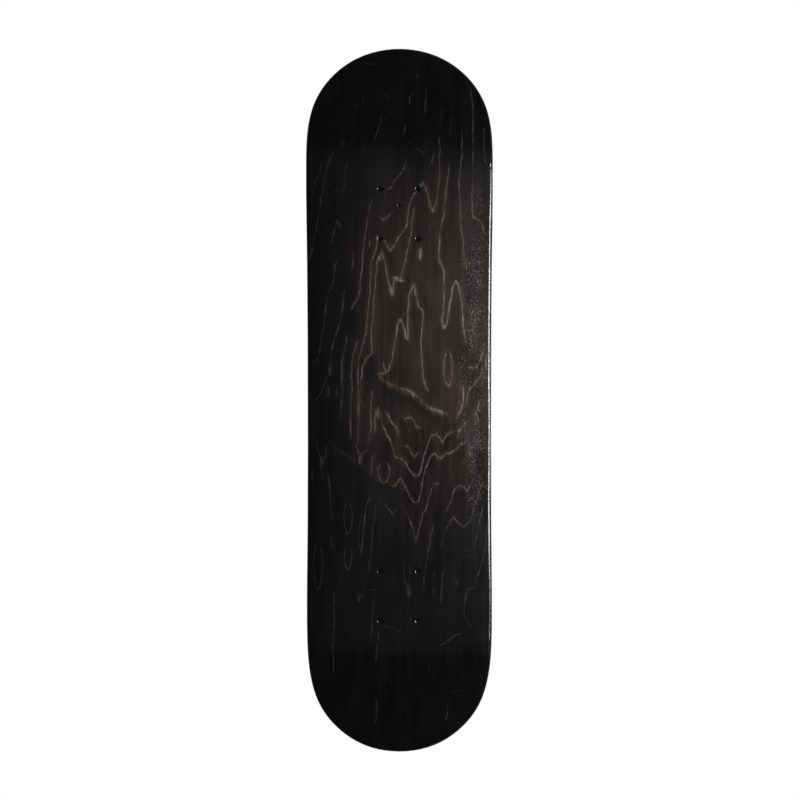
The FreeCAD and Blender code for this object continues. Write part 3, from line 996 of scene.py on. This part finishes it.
# %% [markdown]
# The riding face. The photograph doesn't show it. A new deck has the same black-stained maple there,
# with a thin satin lacquer that grip tape will cover. Its figure comes from noise: a slow noise, long
# along the grain, is a landscape, and its contour lines are the growth rings.

# %% Finish of the riding face
RING_SIZE = (260 * MM, 34 * MM, 400 * MM)
RINGS = 14.0
RING_WIDTH = 0.06
RING_WOBBLE = 0.012
RING_BREAK_RANGE = (0.30, 0.58)
RING_STRENGTH = 0.5
RING_TINT = 0.25
SATIN_FIBRE_SIZE = (24 * MM, 1.2 * MM, 1.2 * MM)
SATIN_FIBRE_HEIGHT = 0.04 * MM
SATIN_TONE_RANGE = (0.8, 1.5)
SATIN_ROUGHNESS = (0.36, 0.50)

riding, tree = new_material("black-stained maple face, satin")
landscape = stretched_noise(tree, RING_SIZE, detail=2.5, seed=21.3)
wobble = stretched_noise(tree, BREAK_SIZE, detail=2.0, seed=2.4)
landscape = add(tree, "ShaderNodeMath", {
    0: wobble, 1: RING_WOBBLE, 2: landscape,
}, operation="MULTIPLY_ADD")
ring = add(tree, "ShaderNodeMath", {0: landscape, 1: RINGS}, operation="MULTIPLY")
ring = add(tree, "ShaderNodeMath", {0: ring, 1: 1.0}, operation="PINGPONG")
line = add(tree, "ShaderNodeMapRange", {"Value": ring, "From Min": RING_WIDTH, "From Max": 0.0})
broken = add(tree, "ShaderNodeMapRange", {
    "Value": stretched_noise(tree, BREAK_SIZE, detail=3.0, seed=14.2),
    "From Min": RING_BREAK_RANGE[0], "From Max": RING_BREAK_RANGE[1],
})
line = add(tree, "ShaderNodeMath", {0: line, 1: broken}, operation="MULTIPLY")
line = add(tree, "ShaderNodeMath", {0: line, 1: RING_STRENGTH}, operation="MULTIPLY")
streaks = stretched_noise(tree, STREAK_SIZE, seed=6.6)
fibres = stretched_noise(tree, SATIN_FIBRE_SIZE, detail=3.0, seed=1.9)
tone = add(tree, "ShaderNodeMath", {0: streaks, 1: fibres}, operation="ADD")
tone = add(tree, "ShaderNodeMath", {0: ring, 1: RING_TINT, 2: tone}, operation="MULTIPLY_ADD")
tone = add(tree, "ShaderNodeMapRange", {
    "Value": tone, "From Min": SATIN_TONE_RANGE[0], "From Max": SATIN_TONE_RANGE[1],
})
wood = add(tree, "ShaderNodeMix", {
    0: tone, 6: colour("#090808"), 7: colour("#241D18"),
}, data_type="RGBA")
wood = add(tree, "ShaderNodeMix", {0: line, 6: wood.outputs[2], 7: colour("#8B8179")}, data_type="RGBA")
outside_hole = hole_distance(tree)
wood = stain_hole_walls(tree, wood, outside_hole)
satin = add(tree, "ShaderNodeMapRange", {
    "Value": fibres, "To Min": SATIN_ROUGHNESS[0], "To Max": SATIN_ROUGHNESS[1],
})
height = add(tree, "ShaderNodeMath", {0: fibres, 1: SATIN_FIBRE_HEIGHT}, operation="MULTIPLY")
height = add(tree, "ShaderNodeMath", {0: height, 1: hole_mouths(tree, outside_hole)}, operation="ADD")
relief = add(tree, "ShaderNodeBump", {"Height": height, "Strength": 1.0, "Distance": 1.0})
finish = add(tree, "ShaderNodeBsdfPrincipled", {
    "Base Color": wood.outputs[2], "Roughness": satin, "IOR": FINISH_IOR, "Normal": relief,
})
add(tree, "ShaderNodeOutputMaterial", {"Surface": finish})
print("nodes in the riding face's finish:", len(tree.nodes))

# %% [markdown]
# The five veneers between the faces show only their sawn and sanded edges, and the walls of the
# holes. Three have their grain along the board, so a long side shows them as fine lengthwise lines.
# Two have it across, so a long side shows their end grain, which drinks more stain, stays duller and
# is dotted with pores. One function makes both.

# %% Finish of the veneers between
SAWN_TONE_RANGE = (0.75, 1.25)
LONG_FIBRE_SIZE = (18 * MM, 0.7 * MM, 0.7 * MM)
CROSS_FIBRE_SIZE = (0.7 * MM, 18 * MM, 0.7 * MM)


def sawn_maple(name, grain_size, dark, pale, roughness, pore_depth):
    """Stained maple as the saw and the sanding left it, with fibres of the given size."""
    material, tree = new_material(name)
    fibres = stretched_noise(tree, grain_size, detail=4.0)
    clouds = stretched_noise(tree, CLOUD_SIZE, seed=8.2)
    tone = add(tree, "ShaderNodeMath", {0: fibres, 1: clouds}, operation="ADD")
    tone = add(tree, "ShaderNodeMapRange", {
        "Value": tone, "From Min": SAWN_TONE_RANGE[0], "From Max": SAWN_TONE_RANGE[1],
    })
    wood = add(tree, "ShaderNodeMix", {0: tone, 6: colour(dark), 7: colour(pale)}, data_type="RGBA")
    wood = stain_hole_walls(tree, wood, hole_distance(tree))
    height = add(tree, "ShaderNodeMath", {0: fibres, 1: pore_depth}, operation="MULTIPLY")
    relief = add(tree, "ShaderNodeBump", {"Height": height, "Strength": 1.0, "Distance": 1.0})
    finish = add(tree, "ShaderNodeBsdfPrincipled", {
        "Base Color": wood.outputs[2], "Roughness": roughness, "IOR": FINISH_IOR, "Normal": relief,
    })
    add(tree, "ShaderNodeOutputMaterial", {"Surface": finish})
    return material


long_grain = sawn_maple(
    "black-stained maple, long grain", LONG_FIBRE_SIZE, "#14110F", "#3A322A", 0.34, 0.05 * MM,
)
cross_grain = sawn_maple(
    "black-stained maple, cross grain", CROSS_FIBRE_SIZE, "#0A0908", "#1E1A16", 0.44, 0.09 * MM,
)
for name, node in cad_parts.items():
    finish = cross_grain if "cross" in name else long_grain
    finish = {"bottom_face_veneer": under, "top_face_veneer": riding}.get(name, finish)
    node.data.materials.clear()
    node.data.materials.append(finish)
    print(name, "is", finish.name)

# %% [markdown]
# No step above moved or reshaped a veneer. The box round the deck is measured here, and its size
# is printed.

# %% Finish
low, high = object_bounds()
print("size in mm:", [round(1000 * length, 1) for length in high - low])
